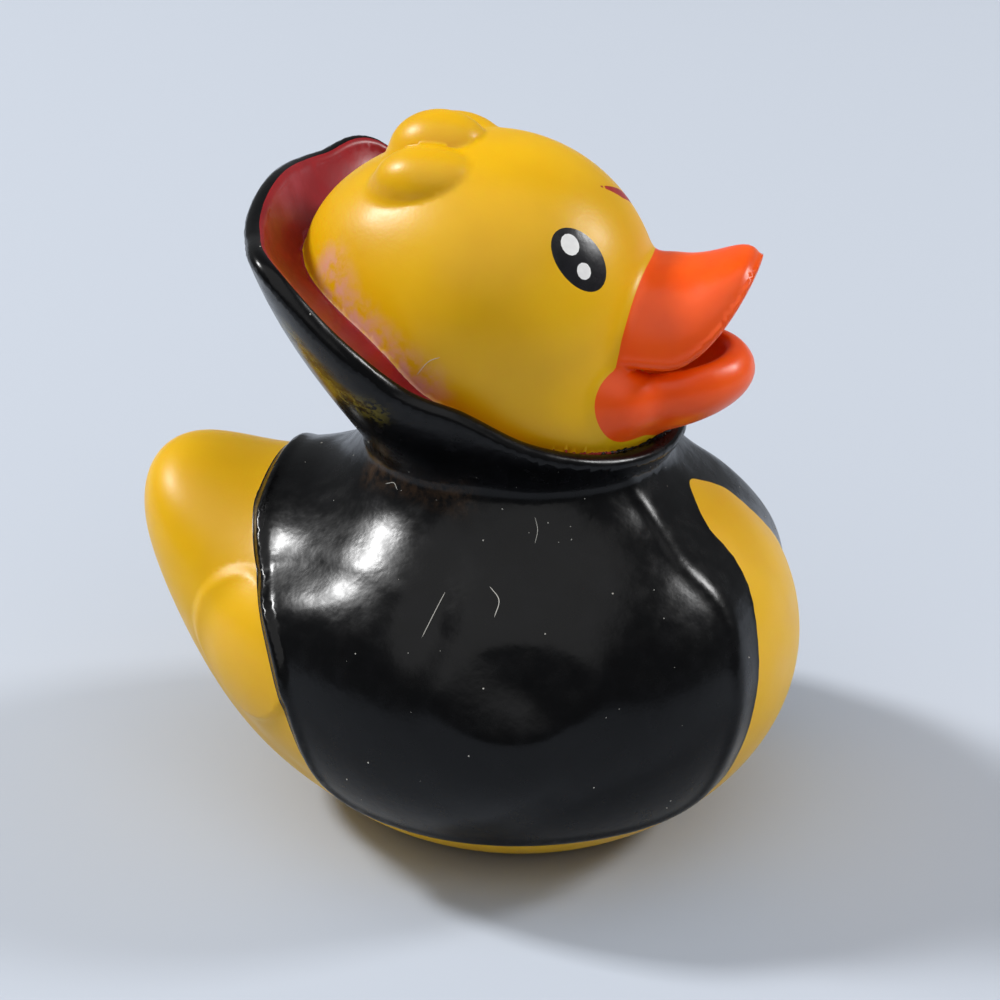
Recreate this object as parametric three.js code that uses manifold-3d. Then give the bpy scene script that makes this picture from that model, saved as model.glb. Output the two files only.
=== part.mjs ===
// Rubber bath duck in a moulded cape: one piece of soft vinyl, painted in fields of colour.
// Millimetres. +X is forward (the bill), +Y the duck's left, +Z up.
// The origin is under the middle of the bounding box, on the ground.
import * as THREE from 'three';
import { mergeVertices } from 'three/addons/utils/BufferGeometryUtils.js';
import Module from 'manifold-3d';

// Paint and vinyl colours, as seen in daylight.
const YELLOW = 0xe2ae06;
const ORANGE = 0xf25a0c;
const BLACK = 0x0d0e11;
const CRIMSON = 0x8d1620;
const WHITE = 0xe9e9ea;

// Body, tail and wings.
const bodyCentre = [0, 0, 20.7];
const bodyRadii = [32, 32, 24];
const tailCentre = [-28.4, 0, 23.9];
const tailRadii = [20.2, 15.0, 9.7];
const tailPitch = 47.9;        // degrees, tip up
const tailBlend = 12;          // width of the blend into the back
const wingCentre = [-10.5, 22.4, 21.6];
const wingRadii = [21.0, 7.6, 11.0];
const wingYaw = 20;            // degrees, tip in towards the tail
const wingPitch = 6;           // degrees, tip up
const baseRound = 1.5;         // blend of the flanks into the flat base

// Neck and collar.
const neckX = -0.3;
const neckR = 15.6;
const neckTop = 45;             // below the rim's lowest point
const neckRoot = 30;           // the neck's core starts inside the body here
const collarFoot = 43.6;       // height of the collar's foot
const collarFootR = 14.5;
const collarHalf = 1.1;        // half the thickness of the sheet
const collarStraight = 0.6;    // 1 flares in a straight line; less curves it
// Round the collar: angle from the front (degrees), radius from the neck axis and height
// of the rim, then the same for the edge where the lining meets the head.
const rim = [
  [0, 17.5, 46.3, 15.6, 46.3], [25, 17.5, 46.5, 15.7, 46.5], [50, 18.0, 47.7, 16.0, 47.3],
  [75, 19.2, 50.4, 16.9, 49.7], [95, 20.5, 54.2, 17.7, 53.0], [110, 23.2, 57.0, 19.1, 55.9],
  [122, 27.3, 62.7, 20.1, 59.6], [135, 30.6, 69.4, 20.75, 62.0], [152, 29.0, 70.1, 21.2, 63.8],
  [180, 27.3, 71.6, 22.0, 64.8],
];
const liningTop = 0.96;         // how far up the inside the crimson goes
const sheetSteps = 7;           // facets up the collar
const liningSteps = 5;
const liningBowl = 1.75;       // 1 is a straight cone between head and rim; more is a bowl

// Cape: a raised layer over the body. Its outline is drawn in side view (x, z)
// and is the same on both sides.
const capeRaise = 0.7;
const capeOutline = [
  [-28.6, 39.6], [-28.8, 37.5], [-28.1, 35.5], [-26.7, 32.7], [-24.7, 30.0], [-23.0, 27.0],
  [-21.6, 23.3], [-20.1, 18.8], [-18.7, 14.0], [-16.6, 10.6], [-13.0, 8.4], [-8.0, 7.4],
  [0, 6.9], [12, 7.1], [20.4, 7.5], [25.0, 9.9], [27.6, 14.9], [28.9, 20.0], [29.1, 25.0],
  [27.8, 30.6], [25.2, 34.7], [21.0, 38.6], [17.0, 42.9], [15.2, 46.5],
];
const capeTopZ = 46.5;

// Head, crest and bill.
const headCentre = [-3.6, 0, 60.2];
const headRadii = [18.8, 18.6, 18.7];
const jaw = { centre: [1.8, 0, 51], radii: [15.8, 16.4, 9.4] };   // fullness under the cheeks
const nape = { centre: [-11.3, 0, 64.5], radii: [12.4, 13.0, 10.5] };
const crestSide = { centre: [-8.8, 6.2, 75.0], radii: [6.0, 4.5, 4.2] };
const crestMid = { centre: [-8.9, 0, 76.5], radii: [5.7, 4.6, 4.8] };
const billCurlStart = 17.2;    // the upper bill curls up from this x
const billCurl = 0.109;        // rise for each square mm past it
const billUpper = { centre: [16.4, 0, 53.4], radii: [10.0, 10.8, 12.9] };
const billSquare = 2.4;        // 2 is an ellipsoid; more is squarer
const billLipZ = 57.4;
// The lower bill is drawn level, then tipped up about a hinge inside the head.
const billHinge = [8, 0, 52.7];
const billTilt = 5.2;          // degrees
const billLower = { centre: [2.0, 0, 0], radii: [16.0, 11.0, 6.4] };
const billRim = 2.8;           // height of its rim above the hinge
const mouthScoop = { centre: [6.6, 0, 4.6], radii: [9.0, 7.9, 6.0] };
const cheek = { centre: [3.6, 9.6, 0.2], radii: [4.6, 3.8, 4.2] };

// Printed marks: a film of ink a little proud of the head.
const inkRaise = 0.12;
const eyeDir = [41.4, 30.3];       // degrees round from the front, degrees up
const farEyeDir = [-36.5, 30.3];   // the other eye is printed a little nearer the front
const eyeSemi = [2.79, 3.84];
const eyeTilt = 27.3;              // degrees, top leaning to the back
const glintA = { at: [-0.63, 1.75], semi: [1.08, 1.2] };
const glintB = { at: [0.0, -1.32], semi: [0.88, 0.92] };
// A red tapered stroke by the far eye: the blunt end at the eye, the point near the crest.
const scarDir = [-8, 42];
const scar = [[2.9, 2.75], [-0.6, 0.6], [-3.0, -0.9], [-5.2, -3.4], [-3.0, -2.6], [-0.2, -0.9]];

const rad = Math.PI / 180;
const smoothMin = (a, b, k) => {
  const h = Math.min(1, Math.max(0, 0.5 + 0.5 * (b - a) / k));
  return b + (a - b) * h - k * h * (1 - h);
};
const smoothMax = (a, b, k) => -smoothMin(-a, -b, k);
// Distance to an ellipsoid, near enough for blending.
function ellipsoid(x, y, z, c, r) {
  const px = (x - c[0]) / r[0], py = (y - c[1]) / r[1], pz = (z - c[2]) / r[2];
  const k1 = Math.hypot(px, py, pz) + 1e-9;
  const k2 = Math.hypot(px / r[0], py / r[1], pz / r[2]) + 1e-9;
  return k1 * (k1 - 1) / k2;
}
// The same for a squarer ball.
function squarish(x, y, z, r, n) {
  const a = Math.abs(x) / r[0], b = Math.abs(y) / r[1], c = Math.abs(z) / r[2];
  const k = (a ** n + b ** n + c ** n + 1e-12) ** (1 / n);
  const slope = Math.hypot(a ** (n - 1) / r[0], b ** (n - 1) / r[1], c ** (n - 1) / r[2]);
  return (k - 1) / (slope * k ** (1 - n) + 1e-9);
}
const turn = (u, v, deg) => {
  const c = Math.cos(deg * rad), s = Math.sin(deg * rad);
  return [u * c + v * s, v * c - u * s];
};

// The torso: body, tail, wings and neck root, blended as the mould blends them.
function torso(x, y, z) {
  let d = ellipsoid(x, y, z, bodyCentre, bodyRadii);
  const [tx, tz] = turn(x - tailCentre[0], z - tailCentre[2], -tailPitch);
  d = smoothMin(d, ellipsoid(tx, y, tz, [0, 0, 0], tailRadii), tailBlend);
  const [wx, wy] = turn(x - wingCentre[0], -Math.abs(y) + wingCentre[1], -wingYaw);
  const [wu, wz] = turn(wx, z - wingCentre[2], -wingPitch);
  d = smoothMin(d, ellipsoid(wu, wy, wz, [0, 0, 0], wingRadii), 2.5);
  d = smoothMax(d, -0.05 - z, baseRound);
  const n = smoothMax(Math.hypot(x - neckX, y) - neckR, Math.max(z - neckTop, neckRoot - z), 1);
  return smoothMin(d, n, 7);
}
function headShape(x, y, z) {
  const ballAndJaw = smoothMin(ellipsoid(x, y, z, headCentre, headRadii),
    ellipsoid(x, y, z, jaw.centre, jaw.radii), 4);
  return smoothMin(ballAndJaw, ellipsoid(x, y, z, nape.centre, nape.radii), 4);
}
function upperBill(x, y, z) {
  const zb = z - billCurl * Math.max(x - billCurlStart, 0) ** 2;
  const [cx, , cz] = billUpper.centre;
  return smoothMax(squarish(x - cx, y, zb - cz, billUpper.radii, billSquare), billLipZ - zb, 1);
}

// A ball whose points are moved out from a centre until they meet the shape.
function grown(shape, centre, detail, level = 0) {
  const ico = new THREE.IcosahedronGeometry(1, detail);
  ico.deleteAttribute('normal');
  ico.deleteAttribute('uv');
  const g = mergeVertices(ico, 1e-5);
  const p = g.attributes.position;
  for (let i = 0; i < p.count; i++) {
    const l = Math.hypot(p.getX(i), p.getY(i), p.getZ(i));
    const dx = p.getX(i) / l, dy = p.getY(i) / l, dz = p.getZ(i) / l;
    let lo = 0, hi = 2 * bodyRadii[0];
    for (let step = 0; step < 32; step++) {
      const mid = (lo + hi) / 2;
      const d = shape(centre[0] + dx * mid, centre[1] + dy * mid, centre[2] + dz * mid) - level;
      if (d < 0) lo = mid; else hi = mid;
    }
    p.setXYZ(i, centre[0] + dx * lo, centre[1] + dy * lo, centre[2] + dz * lo);
  }
  return g;
}
// Smooth curve through the rim points, even in the angle.
function rimAt(angle, column) {
  const n = rim.length;
  const mirrored = (row, turn) => [turn - row[0], ...row.slice(1)];
  const at = (i) => (i < 0 ? mirrored(rim[-i], 0)
    : i >= n ? mirrored(rim[2 * n - 2 - i], 360) : rim[i]);
  let i = 0;
  while (i < n - 2 && angle > rim[i + 1][0]) i++;
  const [a, b, c, d] = [at(i - 1), at(i), at(i + 1), at(i + 2)];
  const h = c[0] - b[0], u = (angle - b[0]) / h;
  const m0 = (c[column] - a[column]) / (c[0] - a[0]), m1 = (d[column] - b[column]) / (d[0] - b[0]);
  return (2 * u ** 3 - 3 * u ** 2 + 1) * b[column] + (u ** 3 - 2 * u ** 2 + u) * h * m0
    + (3 * u ** 2 - 2 * u ** 3) * c[column] + (u ** 3 - u ** 2) * h * m1;
}
// Middle of the collar's sheet, in the half plane at one angle. s runs from foot to rim.
function collarMid(angle, s) {
  const flare = rimAt(angle, 1) - collarFootR, rise = rimAt(angle, 2) - collarFoot;
  const curve = 1 - collarStraight;
  const r = collarFootR + flare * (collarStraight * s + curve * Math.sin(s * Math.PI / 2));
  const tr = flare * (collarStraight + curve * (Math.PI / 2) * Math.cos(s * Math.PI / 2));
  const l = Math.hypot(tr, rise);
  return { r, z: collarFoot + rise * s, tr: tr / l, tz: rise / l };
}
const beside = (m, off, along) => [m.r + off * m.tz + along * m.tr, m.z - off * m.tr + along * m.tz];
// The sheet's section: up its outer face, round the rim, down its inner face, round the foot.
function sheetSection(angle) {
  const points = [];
  for (const side of [1, -1]) {
    for (let k = 0; k <= sheetSteps; k++) {
      const s = side > 0 ? k / sheetSteps : 1 - k / sheetSteps;
      points.push(beside(collarMid(angle, s), side * collarHalf, 0));
    }
    const end = collarMid(angle, side > 0 ? 1 : 0);
    for (const a of [60, 120]) {
      points.push(beside(end, side * collarHalf * Math.cos(a * rad), side * collarHalf * Math.sin(a * rad)));
    }
  }
  return points;
}
// The lining's section: up inside the sheet, then down a shallow bowl to the head, and in
// under the head to the neck.
function liningSection(angle) {
  const points = [];
  for (let k = 0; k <= liningSteps; k++) {
    const m = collarMid(angle, k / liningSteps * liningTop);
    points.push([m.r, m.z]);
  }
  const [topR, topZ] = beside(collarMid(angle, liningTop), -0.85 * collarHalf, 0);
  const footR = rimAt(angle, 3), footZ = Math.min(rimAt(angle, 4), topZ);
  for (let k = 0; k <= liningSteps; k++) {
    const u = 1 - k / liningSteps;
    points.push([footR + (topR - footR) * u, footZ + (topZ - footZ) * u ** liningBowl]);
  }
  points.push([footR - 3 * collarHalf, footZ], [neckR / 2, collarFoot - collarHalf]);
  return points;
}
// A closed ring whose section changes with the angle from the front.
function ring(around, sectionAt) {
  const count = sectionAt(0).length;
  const g = new THREE.TorusGeometry(1, 0.5, count, around);
  const p = g.attributes.position, uv = g.attributes.uv;
  for (let i = 0; i < p.count; i++) {
    const turned = uv.getX(i) * 360;
    const [r, z] = sectionAt(Math.min(turned, 360 - turned))[Math.round(uv.getY(i) * count) % count];
    p.setXYZ(i, neckX + r * Math.cos(turned * rad), r * Math.sin(turned * rad), z);
  }
  return g;
}
function ball(centre, radii, across, up) {
  return new THREE.SphereGeometry(1, across, up).scale(...radii).translate(...centre);
}
// A prism over an outline drawn in side view.
function sidePrism(outline, depth) {
  const shape = new THREE.Shape(outline.map(([x, z]) => new THREE.Vector2(x, z)));
  const g = new THREE.ExtrudeGeometry(shape, { depth, bevelEnabled: false });
  return g.rotateX(Math.PI / 2).translate(0, depth / 2, 0);
}
// A patch standing on the head at a direction, for printed marks. Its local
// x runs to the front and y up.
function headPatch(dir, points) {
  const [az, el] = dir;
  const n = new THREE.Vector3(Math.cos(el * rad) * Math.cos(az * rad),
    -Math.cos(el * rad) * Math.sin(az * rad), Math.sin(el * rad));
  const side = new THREE.Vector3(0, 0, 1).cross(n).normalize().multiplyScalar(az >= 0 ? 1 : -1);
  const up = new THREE.Vector3().crossVectors(n, side).normalize();
  if (up.z < 0) up.negate();
  const flip = new THREE.Vector3().crossVectors(side, up).dot(n) < 0;
  if (flip) side.negate();
  const pts = points.map(([x, y]) => new THREE.Vector2(flip ? -x : x, y));
  const g = new THREE.ExtrudeGeometry(new THREE.Shape(pts), { depth: 9, bevelEnabled: false });
  const m = new THREE.Matrix4().makeBasis(side, up, n);
  const at = n.clone().multiplyScalar(14).add(new THREE.Vector3(...headCentre));
  return g.applyMatrix4(m.setPosition(at));
}
const oval = (semi, tilt, at, n) => Array.from({ length: n }, (_, i) => {
  const a = i / n * 2 * Math.PI, c = Math.cos(tilt * rad), s = Math.sin(tilt * rad);
  const x = semi[0] * Math.cos(a), y = semi[1] * Math.sin(a);
  return [at[0] + x * c - y * s, at[1] + x * s + y * c];
});

const wasm = await Module();
wasm.setup();
const colourOf = new Map();
function solid(geometry, colour) {
  const g = geometry.clone();
  g.deleteAttribute('normal');
  g.deleteAttribute('uv');
  const m = mergeVertices(g, 1e-4);
  const s = new wasm.Manifold(new wasm.Mesh({
    numProp: 3,
    vertProperties: new Float32Array(m.attributes.position.array),
    triVerts: new Uint32Array(m.index.array),
  }));
  colourOf.set(s.originalID(), colour);
  return s;
}

// Torso, trimmed flat under the base.
const torsoCentre = [-bodyRadii[0] / 8, 0, bodyCentre[2]];
const headSeed = [headCentre[0], 0, headCentre[2]];
const billSeed = [billUpper.centre[0], 0, (billLipZ + billUpper.centre[2] + billUpper.radii[2]) / 2];
const ground = solid(new THREE.BoxGeometry(200, 200, 60).translate(0, 0, -30), YELLOW);
const torsoSolid = solid(grown(torso, torsoCentre, 12), YELLOW).subtract(ground);
// Cape: the torso again, a little larger, kept only inside the outline.
const spline = new THREE.SplineCurve(capeOutline.map(([x, z]) => new THREE.Vector2(x, z)));
const outline = spline.getPoints(44).map((v) => [v.x, v.y]);
const [rootX] = capeOutline[0];
outline.push([rootX, capeTopZ]);
const capeSolid = solid(grown(torso, torsoCentre, 12, capeRaise), BLACK)
  .intersect(solid(sidePrism(outline, 90), BLACK));
// Collar, black, with its crimson lining.
const collar = solid(ring(48, sheetSection), BLACK);
const lining = solid(ring(48, liningSection), CRIMSON);
// Head with its crest, and the open bill.
const head = solid(grown(headShape, headSeed, 8), YELLOW);
const upper = solid(grown(upperBill, billSeed, 6), ORANGE);
const tipped = (geometry) => geometry.rotateY(-billTilt * rad).translate(...billHinge);
const above = solid(tipped(new THREE.BoxGeometry(60, 60, 20).translate(0, 0, billRim + 10)), ORANGE);
const scoop = solid(tipped(ball(mouthScoop.centre, mouthScoop.radii, 24, 16)), ORANGE);
const lower = solid(tipped(ball(billLower.centre, billLower.radii, 30, 20)), ORANGE).subtract(above);
const crests = [
  ball([crestSide.centre[0], -crestSide.centre[1], crestSide.centre[2]], crestSide.radii, 18, 12),
  ball(crestMid.centre, crestMid.radii, 18, 12),
  ball(crestSide.centre, crestSide.radii, 18, 12),
].map((g) => solid(g, YELLOW));
const cheeks = [-1, 1].map((s) => solid(
  tipped(ball([cheek.centre[0], s * cheek.centre[1], cheek.centre[2]], cheek.radii, 16, 10)), ORANGE));
// Ink films: patches of the head grown by the thickness of the ink.
const film = (raise, colour) => solid(grown(headShape, headSeed, 8, raise), colour);
const ink = (dir, points, raise, colour) => film(raise, colour)
  .intersect(solid(headPatch(dir, points), colour));
const marks = [eyeDir, farEyeDir].flatMap((dir) => [
  ink(dir, oval(eyeSemi, eyeTilt, [0, 0], 22), inkRaise, BLACK),
  ink(dir, oval(glintA.semi, 0, glintA.at, 12), 2 * inkRaise, WHITE),
  ink(dir, oval(glintB.semi, 0, glintB.at, 12), 2 * inkRaise, WHITE),
]);
marks.push(ink(scarDir, scar, inkRaise, CRIMSON));

let duck = torsoSolid.add(capeSolid).add(collar).add(lining).add(head);
for (const piece of [upper, lower, ...cheeks, ...crests]) duck = duck.add(piece);
duck = duck.subtract(scoop);
for (const piece of marks) duck = duck.add(piece);
// Tiny voids shut in between the jaw and the collar are filled: keep the outer skin only.
duck = duck.decompose().sort((a, b) => b.volume() - a.volume())[0];

// One mesh, coloured face by face from the piece that each face came from.
const out = duck.getMesh();
const tri = out.triVerts, vp = out.vertProperties, np = out.numProp;
const pos = new Float32Array(tri.length * 3), col = new Float32Array(tri.length * 3);
const shade = new THREE.Color();
for (let run = 0; run < out.runOriginalID.length; run++) {
  shade.set(colourOf.get(out.runOriginalID[run]) ?? YELLOW);
  for (let k = out.runIndex[run]; k < out.runIndex[run + 1]; k++) {
    const v = tri[k] * np;
    pos.set([vp[v], vp[v + 1], vp[v + 2]], k * 3);
    col.set([shade.r, shade.g, shade.b], k * 3);
  }
}
const geometry = new THREE.BufferGeometry();
geometry.setAttribute('position', new THREE.BufferAttribute(pos, 3));
geometry.setAttribute('color', new THREE.BufferAttribute(col, 3));
geometry.computeVertexNormals();
geometry.computeBoundingBox();
const box = geometry.boundingBox;
geometry.translate(-(box.min.x + box.max.x) / 2, 0, 0);

const vinyl = new THREE.MeshStandardMaterial({
  color: 0xffffff, vertexColors: true, roughness: 0.36, metalness: 0,
});
const mesh = new THREE.Mesh(geometry, vinyl);
mesh.name = 'duck';
const group = new THREE.Group();
group.name = 'rubber_duck';
group.add(mesh);
export default group;
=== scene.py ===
# %% [markdown]
# A rubber bath duck in a moulded cape. The real one is rotocast: liquid vinyl is spun in a
# closed metal mould until it sets as one hollow skin. So this scene makes one closed skin too,
# and all the colours are paint on it. Blender works in metres, and a toy is drawn in
# millimetres, so everything is drawn in millimetres and scaled once, at the end.

# %% Load the fixed frame
import math

import bpy
import numpy as np
from mathutils import Matrix, Vector


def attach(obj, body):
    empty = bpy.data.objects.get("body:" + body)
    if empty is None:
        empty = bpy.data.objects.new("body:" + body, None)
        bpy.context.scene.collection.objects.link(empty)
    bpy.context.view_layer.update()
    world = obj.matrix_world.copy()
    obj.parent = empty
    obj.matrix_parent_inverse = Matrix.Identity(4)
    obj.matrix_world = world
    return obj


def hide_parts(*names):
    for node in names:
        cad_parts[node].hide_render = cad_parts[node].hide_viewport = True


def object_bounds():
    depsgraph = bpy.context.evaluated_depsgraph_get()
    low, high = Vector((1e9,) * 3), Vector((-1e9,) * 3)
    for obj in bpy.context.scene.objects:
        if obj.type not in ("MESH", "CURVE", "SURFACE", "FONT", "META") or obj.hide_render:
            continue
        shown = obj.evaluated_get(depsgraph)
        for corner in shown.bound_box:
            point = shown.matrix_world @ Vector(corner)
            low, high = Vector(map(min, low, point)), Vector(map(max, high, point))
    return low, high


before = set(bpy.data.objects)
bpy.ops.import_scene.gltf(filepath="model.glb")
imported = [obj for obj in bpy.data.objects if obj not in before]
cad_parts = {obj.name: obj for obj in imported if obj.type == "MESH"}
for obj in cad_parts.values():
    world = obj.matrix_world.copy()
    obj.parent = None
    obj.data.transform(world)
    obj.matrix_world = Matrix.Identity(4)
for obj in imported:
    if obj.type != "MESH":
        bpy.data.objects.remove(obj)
cad_low, cad_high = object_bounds()
MM = 0.001
print("solid in mm:", [round(v / MM, 1) for v in (*cad_low, *cad_high)])

# %% [markdown]
# The duck is drawn about the middle of its round body, and the frame's origin is under the
# middle of its bounding box. The chest is the foremost point of both, so the chest gives the
# shift between them.

# %% Driving sizes of the body
BODY_CENTRE = (0, 0, 20.7)
BODY_RADII = (32, 32, 24)
SHIFT_X = cad_high.x / MM - BODY_RADII[0]
TAIL_CENTRE = (-28.4, 0, 23.9)
TAIL_RADII = (20.2, 15.0, 9.7)
TAIL_PITCH = math.radians(47.9)
TAIL_BLEND = 12
WING_CENTRE = (-10.5, 22.4, 21.6)
WING_RADII = (21.0, 7.6, 11.0)
WING_YAW = math.radians(20)
WING_PITCH = math.radians(6)
NECK_X = -0.3
NECK_R = 15.6
NECK_TOP = 45
NECK_ROOT = 30
print("shift to the frame:", round(SHIFT_X, 2), "mm")

# %% [markdown]
# A soft moulding has no hard corners inside it: every bulge flows into the next. The easiest way
# to draw that is with distances. Each bulge is a function that says how far a point is from its
# surface (negative inside), and two bulges are joined by a rounded minimum of their distances.

# %% Distances and rounded joins
def rounded_min(a, b, width):
    share = np.clip(0.5 + 0.5 * (b - a) / width, 0, 1)
    return b + (a - b) * share - width * share * (1 - share)


def rounded_max(a, b, width):
    return -rounded_min(-a, -b, width)


def ellipsoid(x, y, z, centre, radii):
    u = (x - centre[0]) / radii[0]
    v = (y - centre[1]) / radii[1]
    w = (z - centre[2]) / radii[2]
    size = np.sqrt(u * u + v * v + w * w) + 1e-9
    slope = np.sqrt((u / radii[0]) ** 2 + (v / radii[1]) ** 2 + (w / radii[2]) ** 2) + 1e-9
    return size * (size - 1) / slope


def squarish_ball(x, y, z, radii, n):
    u = np.abs(x) / radii[0]
    v = np.abs(y) / radii[1]
    w = np.abs(z) / radii[2]
    size = (u**n + v**n + w**n + 1e-12) ** (1 / n)
    slope = np.sqrt(
        (u ** (n - 1) / radii[0]) ** 2 + (v ** (n - 1) / radii[1]) ** 2 + (w ** (n - 1) / radii[2]) ** 2
    )
    return (size - 1) / (slope * size ** (1 - n) + 1e-9)


def turned(u, v, angle):
    return u * math.cos(angle) + v * math.sin(angle), v * math.cos(angle) - u * math.sin(angle)


def smooth_step(t):
    t = np.clip(t, 0, 1)
    return t * t * (3 - 2 * t)


# %% [markdown]
# The cape is not cloth: it is a low step in the mould, with black paint up to its edge. Its
# outline is drawn once in side view and serves both flanks. Its edge rises over about a
# millimetre and carries a faint bead, which catches a thin line of light.

# %% The cape's outline in side view
CAPE_RAISE = 0.7
CAPE_RISE = 1.1
CAPE_BEAD = 0.22
CAPE_BEAD_WIDTH = 1.3
CAPE_BACK = [(-28.6, 60), (-28.6, 39.6), (-28.8, 37.5), (-28.1, 35.5), (-26.7, 32.7), (-24.7, 30.0),
             (-23.0, 27.0), (-21.6, 23.3), (-20.1, 18.8), (-18.7, 14.0), (-16.6, 10.6)]
CAPE_HEM = [(-13.0, 8.4), (-8.0, 7.4), (0, 6.9), (12, 7.1), (20.4, 7.5)]
CAPE_FRONT = [(25.0, 9.9), (27.6, 14.9), (28.9, 20.0), (29.1, 25.0), (27.8, 30.6),
              (25.2, 34.7), (21.0, 38.6), (17.0, 42.9), (15.2, 46.5), (15.2, 60)]


def spline(points, pieces):
    """A smooth curve through the points, as a list of points."""
    p = np.array(points, float)
    ends = np.vstack([2 * p[0] - p[1], p, 2 * p[-1] - p[-2]])
    t = np.linspace(0, 1, pieces, endpoint=False)[:, None]
    runs = []
    for a, b, c, d in zip(ends[:-3], ends[1:-2], ends[2:-1], ends[3:]):
        runs.append(0.5 * (2 * b + (c - a) * t + (2 * a - 5 * b + 4 * c - d) * t**2
                           + (3 * b - a - 3 * c + d) * t**3))
    return np.vstack([*runs, p[-1:]])


def inside_distance(u, v, outline):
    """Distance to a closed flat outline, positive inside it."""
    near = np.full(u.shape, 1e9)
    inside = np.zeros(u.shape, bool)
    for (u0, v0), (u1, v1) in zip(outline, np.roll(outline, -1, 0)):
        along = np.clip(((u - u0) * (u1 - u0) + (v - v0) * (v1 - v0))
                        / ((u1 - u0) ** 2 + (v1 - v0) ** 2 + 1e-12), 0, 1)
        near = np.minimum(near, (u - u0 - along * (u1 - u0)) ** 2 + (v - v0 - along * (v1 - v0)) ** 2)
        crosses = (v0 > v) != (v1 > v)
        if v1 != v0:
            inside ^= crosses & (u < (u1 - u0) * (v - v0) / (v1 - v0) + u0)
    return np.where(inside, 1, -1) * np.sqrt(near)


cape_outline = spline(CAPE_BACK + CAPE_HEM + CAPE_FRONT, 3)
print("cape outline:", len(cape_outline), "points")


# %% [markdown]
# Body, tail, wings and the root of the neck are one blended bulge, with a little low relief on
# the flanks: the tip of each wing, and a shallow curl in the cape. The distance to the cape's
# outline takes longer to work out than the rest, so it is worked out only close to the surface.

# %% Torso
FEATHER_TIP = (-27.3, 24.6)
FEATHER_TIP_SEMI = (7.4, 8.2)
FEATHER_RAISE = 0.4
CURL_AT = (6, 28.5)
CURL_SEMI = (7.0, 4.2)
CURL_DEPTH = 0.35
VALLEY_AT = (-3.5, 35)
VALLEY_DEPTH = 0.5


def plain_torso(x, y, z):
    d = ellipsoid(x, y, z, BODY_CENTRE, BODY_RADII)
    tail_x, tail_z = turned(x - TAIL_CENTRE[0], z - TAIL_CENTRE[2], -TAIL_PITCH)
    d = rounded_min(d, ellipsoid(tail_x, y, tail_z, (0, 0, 0), TAIL_RADII), TAIL_BLEND)
    wing_x, wing_y = turned(x - WING_CENTRE[0], WING_CENTRE[1] - np.abs(y), -WING_YAW)
    wing_u, wing_z = turned(wing_x, z - WING_CENTRE[2], -WING_PITCH)
    d = rounded_min(d, ellipsoid(wing_u, wing_y, wing_z, (0, 0, 0), WING_RADII), 2.5)
    d = rounded_max(d, -z, 1.5)
    neck = rounded_max(np.hypot(x - NECK_X, y) - NECK_R, np.maximum(z - NECK_TOP, NECK_ROOT - z), 1)
    return rounded_min(d, neck, 7)


def cape_edge(x, z):
    return inside_distance(x, z, cape_outline)


def dent(along, centre, half_width):
    return np.exp(-(((along - centre) / half_width) ** 2))


def flank_relief(x, y, z):
    """What stands proud of the flanks in low relief: the wing's tip and the curl on the cape."""
    side = smooth_step((np.abs(y) - 7) / 4)
    tip = np.hypot((x - FEATHER_TIP[0]) / FEATHER_TIP_SEMI[0], (z - FEATHER_TIP[1]) / FEATHER_TIP_SEMI[1])
    relief = FEATHER_RAISE * smooth_step((1 - tip) * 7)
    curl = np.hypot((x - CURL_AT[0]) / CURL_SEMI[0], (z - CURL_AT[1]) / CURL_SEMI[1])
    relief = relief + CURL_DEPTH * (0.6 * dent(curl, 1.2, 0.35) - dent(curl, 0, 0.65))
    valley = dent(x - 0.2 * (z - VALLEY_AT[1]), VALLEY_AT[0], 2.6) * dent(z, VALLEY_AT[1], 5)
    return side * (relief - VALLEY_DEPTH * valley)


def torso(x, y, z):
    d = plain_torso(x, y, z)
    x, y, z = np.broadcast_arrays(x, y, z)
    near = np.abs(d) < 3
    d[near] -= flank_relief(x[near], y[near], z[near])
    edge = cape_edge(x[near], z[near])
    rise = CAPE_RAISE * smooth_step(edge / CAPE_RISE)
    bead = CAPE_BEAD * np.exp(-(((edge - CAPE_BEAD_WIDTH) / 0.6) ** 2))
    d[near] -= rise + bead
    return d


# %% [markdown]
# The collar is a sheet that grows out of the neck and flares up behind the head. Its rim is given
# by a few readings round the neck: angle from the front, radius, height. A smooth curve runs
# through them, and the sheet's section runs from its foot to that rim. Between the sheet and
# the head lies the lining, a shallow bowl whose inner edge is read off in the same way.

# %% Collar
COLLAR_FOOT = 43.6
COLLAR_FOOT_R = 14.5
COLLAR_HALF = 1.1
COLLAR_STRAIGHT = 0.6
RIM_ANGLE = np.radians([0, 25, 50, 75, 95, 110, 122, 135, 152, 180])
RIM_R = np.array([17.5, 17.5, 18.0, 19.2, 20.5, 23.2, 27.3, 30.6, 29.0, 27.3])
RIM_Z = np.array([46.3, 46.5, 47.7, 50.4, 54.2, 57.0, 62.7, 69.4, 70.1, 71.6])
LINING_R = np.array([15.6, 15.7, 16.0, 16.9, 17.7, 19.1, 20.1, 20.75, 21.2, 22.0])
LINING_Z = np.array([46.3, 46.5, 47.3, 49.7, 53.0, 55.9, 59.6, 62.0, 63.8, 64.8])
LINING_BOWL = 1.75


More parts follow.
